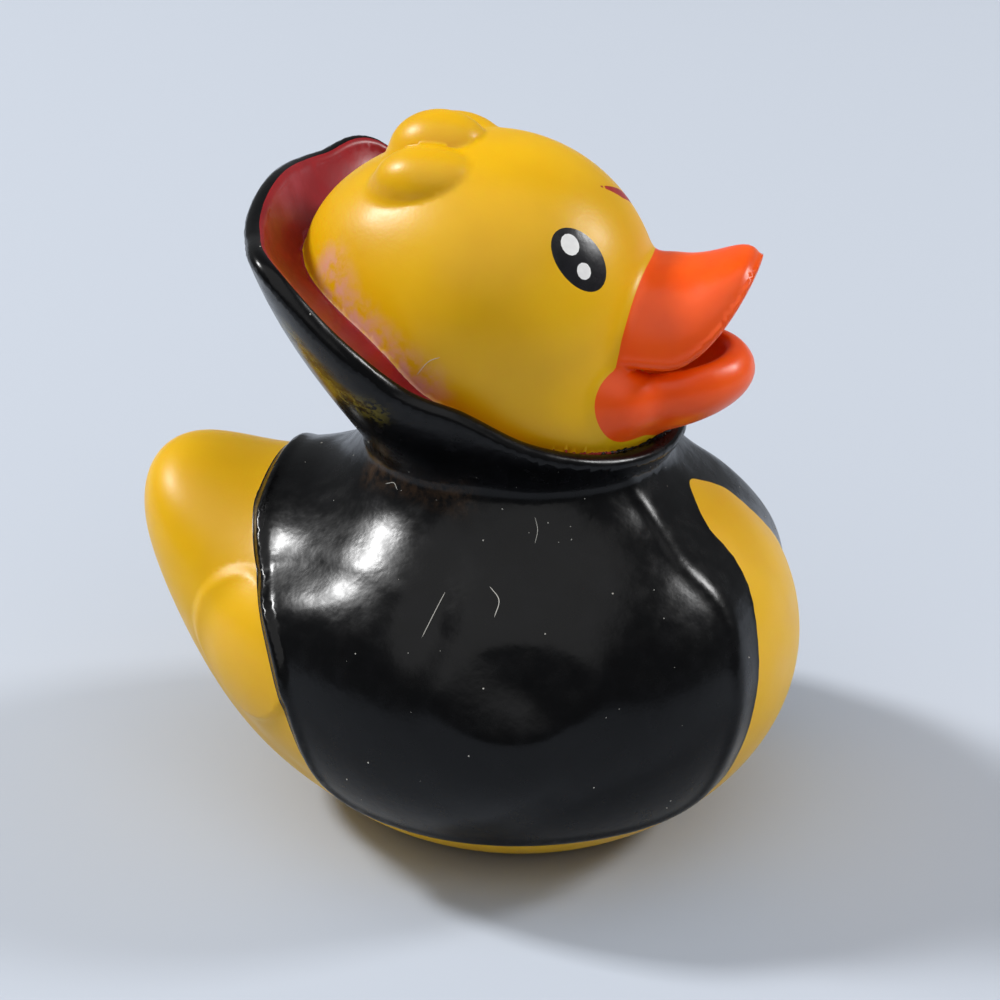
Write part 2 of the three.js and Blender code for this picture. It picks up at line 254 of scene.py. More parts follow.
def rim_curve(values, angle):
    t = RIM_ANGLE
    ends = np.concatenate([[-t[1]], t, [2 * np.pi - t[-2]]])
    more = np.concatenate([[values[1]], values, [values[-2]]])
    slope = (more[2:] - more[:-2]) / (ends[2:] - ends[:-2])
    i = np.clip(np.searchsorted(t, angle) - 1, 0, len(t) - 2)
    h = t[i + 1] - t[i]
    u = (angle - t[i]) / h
    return ((2 * u**3 - 3 * u**2 + 1) * values[i] + (u**3 - 2 * u**2 + u) * h * slope[i]
            + (3 * u**2 - 2 * u**3) * values[i + 1] + (u**3 - u**2) * h * slope[i + 1])


rim_table_angle = np.linspace(0, np.pi, 721)
rim_table = [rim_curve(v, rim_table_angle) for v in (RIM_R, RIM_Z, LINING_R, LINING_Z)]


def rim_at(x, y):
    """Radius and height of the rim, then of the lining's inner edge, in this direction."""
    angle = np.arctan2(np.abs(y), x - NECK_X)
    return [np.interp(angle, rim_table_angle, column) for column in rim_table]


def collar_section(x, y, z):
    """How far a point is outside the middle of the sheet, and how far above its rim."""
    rim_r, rim_z, _, _ = rim_at(x, y)
    s = np.clip((z - COLLAR_FOOT) / (rim_z - COLLAR_FOOT), 0, 1)
    curved = 1 - COLLAR_STRAIGHT
    flare = rim_r - COLLAR_FOOT_R
    middle = COLLAR_FOOT_R + flare * (COLLAR_STRAIGHT * s + curved * np.sin(s * np.pi / 2))
    lean = flare * (COLLAR_STRAIGHT + curved * np.pi / 2 * np.cos(s * np.pi / 2))
    lean = lean / (rim_z - COLLAR_FOOT)
    out = (np.hypot(x - NECK_X, y) - middle) / np.sqrt(1 + lean**2)
    return out, z - rim_z


def lining(x, y, z, out):
    """The shallow bowl between the sheet and the head."""
    rim_r, rim_z, inner_r, inner_z = rim_at(x, y)
    width = rim_r - 0.8 * COLLAR_HALF - inner_r
    rise = rim_z - 0.2 - inner_z
    across = (np.hypot(x - NECK_X, y) - inner_r) / width
    up = np.clip(across, 0.02, 1)
    floor = inner_z + rise * up**LINING_BOWL 
    slope = rise / width * LINING_BOWL * up ** (LINING_BOWL - 1)
    under = (z - floor) / np.sqrt(1 + slope**2)
    return np.maximum(np.maximum(under, out), COLLAR_FOOT - z)


def collar(x, y, z):
    out, above = collar_section(x, y, z)
    past = np.maximum(np.maximum(above, COLLAR_FOOT - z), 0)
    sheet = (np.sqrt(out**2 + past**2) - COLLAR_HALF) * 0.8
    return rounded_min(sheet, lining(x, y, z, out), 0.5)


# %% [markdown]
# The head is a ball with full cheeks. The open bill is two shells: the upper one is cut flat
# underneath and its tip curls up, and the lower one is a scooped bowl, tipped up a little, with
# a bulge at each corner of the mouth. Three soft lobes on top are the tuft of feathers.

# %% Head, tuft and bill
HEAD_CENTRE = (-3.6, 0, 60.2)
HEAD_RADII = (18.8, 18.6, 18.7)
JAW_CENTRE = (1.8, 0, 51)
JAW_RADII = (15.8, 16.4, 9.4)
NAPE = ((-11.3, 0, 64.5), (12.4, 13.0, 10.5))
TUFT_SIDE = ((-8.8, 6.2, 75.0), (6.0, 4.5, 4.2))
TUFT_MIDDLE = ((-8.9, 0, 76.5), (5.7, 4.6, 4.8))
BILL_CURL_START = 17.2
BILL_CURL = 0.109
BILL_UPPER = (16.4, 0, 53.4)
BILL_UPPER_RADII = (10.0, 10.8, 12.9)
BILL_SQUARENESS = 2.4
BILL_LIP = 57.4
LIP_ROLL = 0.22
LOWER_HINGE = (8, 52.7)
LOWER_TILT = math.radians(5.2)
BILL_LOWER = ((2.0, 0, 0), (16.0, 11.0, 6.4))
LOWER_RIM = 2.8
MOUTH_SCOOP = ((6.6, 0, 4.6), (9.0, 7.9, 6.0))
CHEEK = ((3.6, 9.6, 0.2), (4.6, 3.8, 4.2))


def head(x, y, z):
    ball = rounded_min(ellipsoid(x, y, z, HEAD_CENTRE, HEAD_RADII),
                       ellipsoid(x, y, z, JAW_CENTRE, JAW_RADII), 4)
    return rounded_min(ball, ellipsoid(x, y, z, *NAPE), 4)


def tuft(x, y, z):
    sides = ellipsoid(x, np.abs(y), z, *TUFT_SIDE)
    return rounded_min(sides, ellipsoid(x, y, z, *TUFT_MIDDLE), 0.3)


def upper_bill(x, y, z):
    uncurled = z - BILL_CURL * np.maximum(x - BILL_CURL_START, 0) ** 2
    ball = squarish_ball(x - BILL_UPPER[0], y, uncurled - BILL_UPPER[2], BILL_UPPER_RADII, BILL_SQUARENESS)
    over_lip = uncurled - BILL_LIP
    ball = ball - LIP_ROLL * np.exp(-(((over_lip - 0.7) / 0.6) ** 2))
    return rounded_max(ball, -over_lip, 0.9) * 0.8


def in_lower_bill(x, z):
    return turned(x - LOWER_HINGE[0], z - LOWER_HINGE[1], LOWER_TILT)


def lower_bill(x, y, z):
    u, w = in_lower_bill(x, z)
    bowl = rounded_max(ellipsoid(u, y, w, *BILL_LOWER), w - LOWER_RIM, 0.8)
    return rounded_min(bowl, ellipsoid(u, np.abs(y), w, *CHEEK), 2.0)


def scoop(x, y, z):
    u, w = in_lower_bill(x, z)
    return ellipsoid(u, y, w, *MOUTH_SCOOP)


def bill(x, y, z):
    return rounded_min(upper_bill(x, y, z), lower_bill(x, y, z), 0.6)


def duck(x, y, z):
    body = rounded_min(torso(x, y, z), collar(x, y, z), 1.0)
    tuft_blend = 0.4 + 1.2 * smooth_step((-9 - x) / 7)
    top = rounded_min(head(x, y, z), tuft(x, y, z), tuft_blend)
    top = rounded_min(top, bill(x, y, z), 1.2)
    top = rounded_max(top, -scoop(x, y, z), 0.8)
    return rounded_min(body, top, 0.4)


# %% [markdown]
# A distance becomes a mesh by looking at a grid of points: wherever the sign changes between two
# neighbours, the skin passes between them. Each grid cell that the skin passes through gets one
# vertex, and each such pair of neighbours gets one face. The vertices then slide down the slope
# of the distance until they lie on the surface itself.

# %% Skin of a distance
GRID_STEP = 0.62


def slope_of(distance, p, h=0.02):
    g = np.empty_like(p)
    for k in range(3):
        e = np.zeros(3)
        e[k] = h
        ahead = distance(*(p + e).T)
        behind = distance(*(p - e).T)
        g[:, k] = (ahead - behind) / (2 * h)
    return g


def slide_to_surface(distance, p, rounds=4):
    for _ in range(rounds):
        g = slope_of(distance, p)
        move = distance(*p.T) / np.maximum((g**2).sum(1), 0.05)
        p = p - g * np.clip(move, -0.4, 0.4)[:, None]
    return p


def skin(distance, low, high, step):
    axes = [np.arange(a, b + step, step) for a, b in zip(low, high)]
    field = distance(*np.meshgrid(*axes, indexing="ij"))
    inside = field < 0
    cells = np.array(field.shape) - 1
    total = np.zeros((cells.prod(), 3))
    count = np.zeros(cells.prod())
    quads = []
    for a in range(3):
        b, c = (a + 1) % 3, (a + 2) % 3
        near = [slice(None)] * 3
        far = [slice(None)] * 3
        near[a], far[a] = slice(None, -1), slice(1, None)
        near, far = tuple(near), tuple(far)
        at = np.argwhere(inside[near] != inside[far])
        at = at[(at[:, b] > 0) & (at[:, b] < cells[b]) & (at[:, c] > 0) & (at[:, c] < cells[c])]
        next_at = at.copy()
        next_at[:, a] += 1
        f0, f1 = field[tuple(at.T)], field[tuple(next_at.T)]
        point = at.astype(float)
        point[:, a] += f0 / (f0 - f1)
        corners = []
        for db, dc in ((1, 1), (0, 1), (0, 0), (1, 0)):
            cell = at.copy()
            cell[:, b] -= db
            cell[:, c] -= dc
            corners.append(np.ravel_multi_index(cell.T, cells))
            count += np.bincount(corners[-1], minlength=len(count))
            for k in range(3):
                total[:, k] += np.bincount(corners[-1], point[:, k], len(count))
        quad = np.stack(corners, 1)
        quad[f0 > 0] = quad[f0 > 0][:, ::-1]
        quads.append(quad)
    used = np.flatnonzero(count)
    number = np.full(len(count), -1)
    number[used] = np.arange(len(used))
    points = np.array(low) + total[used] / count[used, None] * step
    return slide_to_surface(distance, points), number[np.vstack(quads)]


points, quads = skin(duck, (-46, -35.5, -1.2), (34, 35.5, 83.2), GRID_STEP)
print("skin:", len(points), "points,", len(quads), "faces")


# %% [markdown]
# Paint meets paint along crisp lines, which would be ragged if they followed the grid. So each
# line is drawn as one more distance, and every triangle that it crosses is cut along it. The
# faces on each side then take their own material.

# %% Cutting the skin along paint lines
def triangles(points, quads):
    a, b, c, d = points[quads].transpose(1, 0, 2)
    short = np.linalg.norm(a - c, axis=1) < np.linalg.norm(b - d, axis=1)
    one = np.where(short[:, None], quads[:, [0, 1, 2]], quads[:, [0, 1, 3]])
    two = np.where(short[:, None], quads[:, [0, 2, 3]], quads[:, [1, 2, 3]])
    return np.vstack([one, two])


def cut(points, tris, labels, value, inside_label):
    """Cuts the triangles where value is zero, and labels those where it is positive."""
    value = np.where(np.abs(value) < 1e-6, 1e-6, value)
    side = value > 0
    corner = side[tris]
    odd = np.where(corner.sum(1) == 1, corner.argmax(1), (~corner).argmax(1))
    mixed = (corner.sum(1) % 3) != 0
    rows = np.arange(len(tris))
    a = tris[rows, odd][mixed]
    b = tris[rows, (odd + 1) % 3][mixed]
    c = tris[rows, (odd + 2) % 3][mixed]
    n = len(points)
    keys = np.concatenate([np.minimum(a, b) * n + np.maximum(a, b),
                           np.minimum(a, c) * n + np.maximum(a, c)])
    unique, where = np.unique(keys, return_inverse=True)
    first, second = unique // n, unique % n
    share = (value[first] / (value[first] - value[second]))[:, None]
    added = points[first] + (points[second] - points[first]) * share
    p = n + where[: len(a)]
    q = n + where[len(a):]
    new = np.vstack([np.stack([a, p, q], 1), np.stack([p, b, c], 1), np.stack([p, c, q], 1)])
    kept = ~mixed
    out = np.vstack([tris[kept], new])
    old = np.concatenate([labels[kept], np.tile(labels[mixed], 3)])
    within = np.concatenate([side[tris[kept, 0]], side[a], ~side[a], ~side[a]])
    old = np.where(within & (inside_label[0][old]), inside_label[1], old)
    return np.vstack([points, added]), out, old


# %% [markdown]
# The printed marks are drawn flat, in millimetres, on the plane that touches the head where
# the stamp meets it: x runs to the front and y up.

# %% Printed marks
EYE_AT = (41.4, 30.3)
FAR_EYE_AT = (-36.5, 30.3)
EYE_SEMI = (2.79, 3.84)
EYE_LEAN = math.radians(27.3)
DOT_A = ((-0.63, 1.75), (1.08, 1.2))
DOT_B = ((0.0, -1.32), (0.88, 0.92))
STROKE_AT = (-8, 42)
STROKE = [(2.9, 2.75), (-0.6, 0.6), (-3.0, -0.9), (-5.2, -3.4), (-3.0, -2.6), (-0.2, -0.9)]


def stamp_plane(p, at):
    """x, y and height of the points on the stamp's plane."""
    around, up = math.radians(at[0]), math.radians(at[1])
    n = np.array([math.cos(up) * math.cos(around), -math.cos(up) * math.sin(around), math.sin(up)])
    across = np.cross((0, 0, 1), n)
    across /= np.linalg.norm(across) * (1 if at[0] >= 0 else -1)
    upward = np.cross(n, across)
    upward *= np.sign(upward[2])
    q = p - np.array(HEAD_CENTRE)
    return q @ across, q @ upward, q @ n


def oval(u, v, centre, semi, lean=0.0):
    u, v = turned(u - centre[0], v - centre[1], lean)
    size = np.sqrt((u / semi[0]) ** 2 + (v / semi[1]) ** 2)
    return (1 - size) * min(semi)


def stamped(p, at, draw):
    u, v, height = stamp_plane(p, at)
    return np.minimum(draw(u, v), height - 10)


# %% [markdown]
# The order of the cuts is the order of painting: bare yellow vinyl, black over the cape and the
# collar, crimson inside the collar, yellow again for the head, orange on the bill, then ink.

# %% Paint the fields of colour
YELLOW, BLACK, CRIMSON, ORANGE, INK, DOT, STROKE_RED = range(7)
RED_EDGE = 0.5
any_field = np.ones(7, bool)


def only(*fields):
    mask = np.zeros(7, bool)
    mask[list(fields)] = True
    return mask


def lining_side(x, y, z):
    out, above = collar_section(x, y, z)
    return -out - RED_EDGE


def neck_front(x, y, z):
    return np.minimum(z - 42, NECK_R + 3 - np.hypot(x - NECK_X, y))


tris = triangles(points, quads)
labels = np.full(len(tris), YELLOW)
lines = [
    (lambda p: np.maximum.reduce([cape_edge(p[:, 0], p[:, 2]), p[:, 2] - 46.5, torso(*p.T) - collar(*p.T),
                                  neck_front(*p.T)]), any_field, BLACK),
    (lambda p: np.minimum(lining_side(*p.T), p[:, 2] - COLLAR_FOOT), any_field, CRIMSON),
    (lambda p: np.minimum(rounded_min(torso(*p.T), collar(*p.T), 1.0) - head(*p.T), p[:, 2] - 40),
     any_field, YELLOW),
    (lambda p: rounded_min(torso(*p.T), collar(*p.T), 1.0) - tuft(*p.T), only(BLACK, CRIMSON), YELLOW),
    (lambda p: np.minimum(head(*p.T), collar(*p.T)) - bill(*p.T), any_field, ORANGE),
    (lambda p: stamped(p, EYE_AT, lambda u, v: oval(u, v, (0, 0), EYE_SEMI, EYE_LEAN)),
     only(YELLOW), INK),
    (lambda p: stamped(p, FAR_EYE_AT, lambda u, v: oval(u, v, (0, 0), EYE_SEMI, EYE_LEAN)),
     only(YELLOW), INK),
    (lambda p: stamped(p, STROKE_AT, lambda u, v: inside_distance(u, v, np.array(STROKE))),
     only(YELLOW), STROKE_RED),
]
for at in (EYE_AT, FAR_EYE_AT):
    for centre, semi in (DOT_A, DOT_B):
        lines.append((lambda p, a=at, c=centre, s=semi: stamped(p, a, lambda u, v: oval(u, v, c, s)),
                      only(INK), DOT))
for value_of, over, label in lines:
    points, tris, labels = cut(points, tris, labels, value_of(points), (over, label))
points = slide_to_surface(duck, points, 1)
print("painted skin:", len(tris), "triangles")

# %% [markdown]
# The vertices carry what the materials need to know about their place: where the paint has worn
# through, where a highlight is painted along the ring at the collar's foot, and where a mist of
# another colour has drifted. Each is a distance to a short line on the skin, turned into a soft mask.

# %% Masks for wear, a painted highlight and overspray
def near_path(p, path, reach):
    """1 on a path of straight pieces, falling smoothly to 0 at its reach."""
    nearest = np.full(len(p), 1e9)
    path = np.array(path, float)
    for a, b in zip(path[:-1], path[1:]):
        along = np.clip((p - a) @ (b - a) / ((b - a) @ (b - a)), 0, 1)
        nearest = np.minimum(nearest, np.linalg.norm(p - a - along[:, None] * (b - a), axis=1))
    return smooth_step(1 - nearest / reach)


# %% [markdown]
# Now the mesh. Each corner's normal is the slope of the distance itself, so highlights run as
# smoothly as on the real moulding, whatever the size of the triangles.

# %% Build the mesh
def plain_mesh(name, points_mm, faces):
    mesh = bpy.data.meshes.new(name)
    place = (points_mm + np.array([SHIFT_X, 0, 0])) * MM
    mesh.from_pydata(place.tolist(), [], faces.tolist())
    obj = bpy.data.objects.new(name, mesh)
    bpy.context.scene.collection.objects.link(obj)
    return obj


edge_a = points[tris[:, 1]] - points[tris[:, 0]]
edge_b = points[tris[:, 2]] - points[tris[:, 0]]
whole_face = np.linalg.norm(np.cross(edge_a, edge_b), axis=1) > 1e-7
tris, labels = tris[whole_face], labels[whole_face]
vinyl = plain_mesh("duck_vinyl", points, tris)
normals = slope_of(duck, points, 0.05)
normals /= np.linalg.norm(normals, axis=1)[:, None]
vinyl.data.polygons.foreach_set("use_smooth", np.ones(len(tris), bool))
vinyl.data.normals_split_custom_set_from_vertices(normals.tolist())
print("duck_vinyl:", len(vinyl.data.polygons), "triangles")


def keep_mask(name, values):
    layer = vinyl.data.attributes.new(name, "FLOAT", "POINT")
    layer.data.foreach_set("value", values.astype(np.float32))


# %% [markdown]
# One helper adds a shader node with its settings and links, so that a material reads from top to
# bottom. Colours are written as sRGB hex values, as a colour picker gives them, and Blender
# wants them linear.

# %% Helpers for materials
def linear(hex_colour):
    channels = [int(hex_colour[i:i + 2], 16) / 255 for i in (1, 3, 5)]
    return (*[c / 12.92 if c <= 0.04045 else ((c + 0.055) / 1.055) ** 2.4 for c in channels], 1)


def add_node(tree, kind, links=None, settings=None, **values):
    """A node with its properties, its socket values by name, and links into its sockets."""
    node = tree.nodes.new(kind)
    for key, value in (settings or {}).items():
        setattr(node, key, value)
    for key, value in values.items():
        node.inputs[key.replace("_", " ")].default_value = value
    for key, source in (links or {}).items():
        tree.links.new(source, node.inputs[key])
    return node


def new_material(name):
    material = bpy.data.materials.new(name)
    material.use_nodes = True
    tree = material.node_tree
    tree.nodes.clear()
    output = tree.nodes.new("ShaderNodeOutputMaterial")
    place = tree.nodes.new("ShaderNodeTexCoord").outputs["Object"]
    return material, tree, output, place


def noise(tree, place, size_mm, detail=2.0):
    """Noise whose blobs are about size_mm across."""
    return add_node(tree, "ShaderNodeTexNoise", {"Vector": place}, Scale=1 / (size_mm * MM), Detail=detail)


def ramp(tree, source, low, high, to_low=0.0, to_high=1.0):
    settings = {"interpolation_type": "SMOOTHSTEP"}
    node = add_node(tree, "ShaderNodeMapRange", {"Value": source}, settings)
    node.inputs["From Min"].default_value = low
    node.inputs["From Max"].default_value = high
    node.inputs["To Min"].default_value = to_low
    node.inputs["To Max"].default_value = to_high
    return node.outputs["Result"]


def multiplied(tree, a, b):
    return add_node(tree, "ShaderNodeMath", {0: a, 1: b}, {"operation": "MULTIPLY"}).outputs[0]


def mixed(tree, share, a, b):
    """Colour a turning into colour b. Either may be a hex value or another node's colour."""
    node = add_node(tree, "ShaderNodeMix", {"Factor": share}, {"data_type": "RGBA"})
    for index, colour in ((6, a), (7, b)):
        if isinstance(colour, str):
            node.inputs[index].default_value = linear(colour)
        else:
            tree.links.new(colour, node.inputs[index])
    return node.outputs[2]


def bumped(tree, height, depth_mm, strength=1.0, under=None):
    links = {"Height": height}
    if under is not None:
        links["Normal"] = under
    return add_node(tree, "ShaderNodeBump", links, Strength=strength, Distance=depth_mm * MM).outputs[0]


def mask_of(tree, name):
    return add_node(tree, "ShaderNodeAttribute", None, {"attribute_name": name}).outputs["Fac"]


# %% [markdown]
# Bare rotocast PVC: soft, satin and slightly see-through, so light that enters it comes out
# again a millimetre or two away and the yellow glows at its edges. Its skin copies the blasted
# wall of the mould, a texture of a few tenths of a millimetre.

# %% Yellow vinyl
def rotocast_pvc():
    material, tree, output, place = new_material("rotocast_PVC_yellow")
    cloud = noise(tree, place, 14, 3.0).outputs[0]
    tone = mixed(tree, ramp(tree, cloud, 0.35, 0.7), "#E8B400", "#E0AB00")
    spatter = ramp(tree, noise(tree, place, 1.6, 4.0).outputs[0], 0.3, 0.65)
    mist = multiplied(tree, mask_of(tree, "overspray"), spatter)
    tone = mixed(tree, mist, tone, "#E3A78F")
    grain = noise(tree, place, 0.45, 3.0).outputs[0]
    wave = noise(tree, place, 5.0, 1.0).outputs[0]
    normal = bumped(tree, wave, 0.06)
    normal = bumped(tree, grain, 0.012, under=normal)
    rough = ramp(tree, noise(tree, place, 6, 4.0).outputs[0], 0.3, 0.7, 0.33, 0.42)
    shader = add_node(tree, "ShaderNodeBsdfPrincipled",
                      {"Base Color": tone, "Normal": normal, "Roughness": rough},
                      Subsurface_Weight=0.35, Subsurface_Scale=0.0022, IOR=1.4)
    shader.inputs["Subsurface Radius"].default_value = (1.0, 0.55, 0.12)
    tree.links.new(shader.outputs[0], output.inputs["Surface"])
    return material


# %% [markdown]
# The cape is sprayed with vinyl paint. Spray levels into a fine orange peel: dimples about a
# millimetre apart, too shallow to see except where they break up a highlight. At the rim of the
# collar it has rubbed through to the yellow in a few thin streaks. Along the ring at the foot of
# the collar a lighter brown band is painted in as a highlight.

# %% Black paint
def sprayed_black():
    material, tree, output, place = new_material("sprayed_vinyl_paint_black")
    scratch = noise(tree, place, 0.9, 6.0).outputs[0]
    through = multiplied(tree, mask_of(tree, "worn"), ramp(tree, scratch, 0.42, 0.56))
    tone = mixed(tree, ramp(tree, noise(tree, place, 3, 4.0).outputs[0], 0.4, 0.8), "#040405", "#08080A")
    # painted highlight: a mottled lighter brown band along the ring at the collar's foot
    ring_highlight = multiplied(tree, mask_of(tree, "thin"), ramp(tree, scratch, 0.3, 0.7))
    tone = mixed(tree, ring_highlight, tone, "#3A2A1C")
    tone = mixed(tree, through, tone, "#6B5F22")
    peel = noise(tree, place, 0.85, 1.5).outputs[0]
    wave = noise(tree, place, 4.5, 1.0).outputs[0]
    normal = bumped(tree, wave, 0.07)
    normal = bumped(tree, peel, 0.016, under=normal)
    rough = ramp(tree, noise(tree, place, 2.2, 5.0).outputs[0], 0.35, 0.75, 0.2, 0.3)
    shader = add_node(tree, "ShaderNodeBsdfPrincipled",
                      {"Base Color": tone, "Normal": normal, "Roughness": rough}, IOR=1.3)
    tree.links.new(shader.outputs[0], output.inputs["Surface"])
    return material


# %% [markdown]
# The lining and the bill are the same kind of paint in other colours, each a soft mottle of two
# tones. The orange is thin, so it keeps some of the glow of the vinyl.

# %% Crimson, orange and ink
def sprayed_colour(name, tones, cloud_mm, roughness, glow):
    material, tree, output, place = new_material(name)
    share = ramp(tree, noise(tree, place, cloud_mm, 3.0).outputs[0], 0.3, 0.7)
    tone = mixed(tree, share, *tones)
    normal = bumped(tree, noise(tree, place, 4.0, 1.0).outputs[0], 0.06)
    normal = bumped(tree, noise(tree, place, 0.7, 2.0).outputs[0], 0.012, under=normal)
    rough = ramp(tree, noise(tree, place, 2.5, 4.0).outputs[0], 0.35, 0.7, roughness, roughness + 0.08)
    shader = add_node(tree, "ShaderNodeBsdfPrincipled",
                      {"Base Color": tone, "Normal": normal, "Roughness": rough},
                      Subsurface_Weight=glow, Subsurface_Scale=0.0015, IOR=1.42)
    shader.inputs["Subsurface Radius"].default_value = (1.0, 0.35, 0.1)
    tree.links.new(shader.outputs[0], output.inputs["Surface"])
    return material


def pad_print(name, tones, roughness):
    return sprayed_colour(name, tones, 1.2, roughness, 0.0)


WORN = [(-20.5, -21.0, 63.0), (-15.4, -20.6, 56.2), (-11.3, -21.0, 55.5)]
# the path of the painted highlight along the ring at the collar's foot
RING_HIGHLIGHT_PATH = [(-14.0, -11.0, 43.4), (-3.0, -17.3, 43.9)]
OVERSPRAY = [(-18.4, -11.5, 66.6), (-16.2, -14.0, 63.2), (-11.7, -16.8, 60.1), (-7.1, -18.0, 57.0)]
masks = {
    "worn": near_path(points, WORN, 3.0),
    "thin": near_path(points, RING_HIGHLIGHT_PATH, 3.0),
    "overspray": near_path(points, OVERSPRAY, 4.5),
}
for name, values in masks.items():
    keep_mask(name, values)
finishes = [
    rotocast_pvc(),
    sprayed_black(),
    sprayed_colour("sprayed_vinyl_paint_crimson", ("#96181F", "#841018"), 5, 0.3, 0.1),
    sprayed_colour("sprayed_vinyl_paint_orange", ("#FA5A00", "#F05000"), 7, 0.3, 0.25),
    pad_print("pad_print_black", ("#101013", "#16151A"), 0.22),
    pad_print("pad_print_white", ("#F2F1EE", "#E7E6E4"), 0.4),
    pad_print("pad_print_red", ("#B02018", "#9E1A18"), 0.35),
]
for finish in finishes:
    vinyl.data.materials.append(finish)
vinyl.data.polygons.foreach_set("material_index", labels.astype(np.int32))
vinyl.data.update()
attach(vinyl, "root")
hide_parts("duck")
print("finishes:", [m.name for m in finishes])

# %% [markdown]
# A black toy shows every bit of dust. Specks are strewn over the black by a small node tree:
# it scatters points on the faces, puts a tiny grain on each, turns each to its face, and scales
# them at random from a fixed seed.

# %% Dust specks by Geometry Nodes
DUST_PER_SQUARE_METRE = 14000.0
DUST_GRAIN = 0.08 * MM
DUST_SEED = 7


def group_input(tree, name, kind, value):
    socket = tree.interface.new_socket(name, in_out="INPUT", socket_type=kind)
    socket.default_value = value
    return socket.identifier


def dust_tree(material):
    tree = bpy.data.node_groups.new("strew_dust", "GeometryNodeTree")
    tree.interface.new_socket("Geometry", in_out="INPUT", socket_type="NodeSocketGeometry")
    tree.interface.new_socket("Geometry", in_out="OUTPUT", socket_type="NodeSocketGeometry")
    sockets = {
        "density": group_input(tree, "Density", "NodeSocketFloat", DUST_PER_SQUARE_METRE),
        "grain": group_input(tree, "Grain", "NodeSocketFloat", DUST_GRAIN),
        "seed": group_input(tree, "Seed", "NodeSocketInt", DUST_SEED),
    }
    given = tree.nodes.new("NodeGroupInput")
    result = tree.nodes.new("NodeGroupOutput")
    where = add_node(tree, "GeometryNodeInputNamedAttribute", None, {"data_type": "FLOAT"}, Name="dusty")
    strewn = add_node(tree, "GeometryNodeDistributePointsOnFaces",
                      {"Mesh": given.outputs["Geometry"], "Density": given.outputs["Density"],
                       "Selection": where.outputs[0], "Seed": given.outputs["Seed"]})
    radius = {"Radius": given.outputs["Grain"]}
    grain = add_node(tree, "GeometryNodeMeshIcoSphere", radius, Subdivisions=1)
    seed = {"Seed": given.outputs["Seed"]}
    size = add_node(tree, "FunctionNodeRandomValue", seed, {"data_type": "FLOAT"})
    size.inputs[2].default_value = 0.4
    size.inputs[3].default_value = 1.5
    placed = add_node(tree, "GeometryNodeInstanceOnPoints",
                      {"Points": strewn.outputs["Points"], "Instance": grain.outputs["Mesh"],
                       "Rotation": strewn.outputs["Rotation"], "Scale": size.outputs[1]})
    real = add_node(tree, "GeometryNodeRealizeInstances", {"Geometry": placed.outputs["Instances"]})
    whole = {"Geometry": real.outputs["Geometry"]}
    done = add_node(tree, "GeometryNodeSetMaterial", whole, Material=material)
    tree.links.new(done.outputs["Geometry"], result.inputs["Geometry"])
    return tree, sockets


def grown_by(name, host, tree, settings):
    """Runs a node tree on a copy of the host's mesh and keeps the result as a plain mesh."""
    carrier = bpy.data.objects.new(name, host.data.copy())
    bpy.context.scene.collection.objects.link(carrier)
    modifier = carrier.modifiers.new("nodes", "NODES")
    modifier.node_group = tree
    for identifier, value in settings.items():
        modifier[identifier] = value
    seen = carrier.evaluated_get(bpy.context.evaluated_depsgraph_get())
    mesh = bpy.data.meshes.new_from_object(seen)
    carrier.modifiers.remove(modifier)
    carrier.data = mesh
    return carrier


def dust_material():
    material, tree, output, place = new_material("dust_grey_lint")
    shader = add_node(tree, "ShaderNodeBsdfPrincipled", Base_Color=linear("#B9B6AE"), Roughness=0.9)
    tree.links.new(shader.outputs[0], output.inputs["Surface"])
    return material


dust = dust_material()
black_faces = labels == BLACK
dusty = np.zeros(len(points))
dusty[tris[black_faces].ravel()] = 1
keep_mask("dusty", dusty)
tree, sockets = dust_tree(dust)
specks = grown_by("dust_specks", vinyl, tree, {sockets["density"]: DUST_PER_SQUARE_METRE})
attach(specks, "root")
print("dust_specks:", len(specks.data.polygons), "faces")

# %% [markdown]
# A few threads of lint lie where they fell. Each is a thin tube along a smooth curve, pushed out
# until it rests on the skin.

# %% Lint
def on_skin(path, lift):
    """The path, laid on the duck's surface and lifted a little."""
    p = slide_to_surface(duck, np.array(path, float), 12)
    g = slope_of(duck, p)
    return p + g / np.linalg.norm(g, axis=1)[:, None] * lift


def thread(path, thickness, sides=6):
    """Points and faces of a closed tube along a path."""
    path = np.array(path)
    ahead = np.gradient(path, axis=0)
    ahead /= np.linalg.norm(ahead, axis=1)[:, None]
    across = np.cross(ahead, (0.3, 0.5, 0.8))
    across /= np.linalg.norm(across, axis=1)[:, None]
    over = np.cross(ahead, across)
    turn = np.arange(sides) * 2 * np.pi / sides
    taper = np.sqrt(np.clip(1 - np.linspace(-1, 1, len(path)) ** 6, 0.05, 1))
    circle = np.cos(turn)[:, None] * across[:, None] + np.sin(turn)[:, None] * over[:, None]
    tube = (path[:, None] + circle * (thickness / 2 * taper)[:, None, None]).reshape(-1, 3)
    i, j = np.meshgrid(np.arange(len(path) - 1), np.arange(sides), indexing="ij")
    k = (j + 1) % sides
    quads = np.stack([i * sides + j, i * sides + k, (i + 1) * sides + k, (i + 1) * sides + j], -1)
    ends = [list(range(sides))[::-1], list(range(len(tube) - sides, len(tube)))]
    return tube, quads.reshape(-1, 4).tolist() + ends


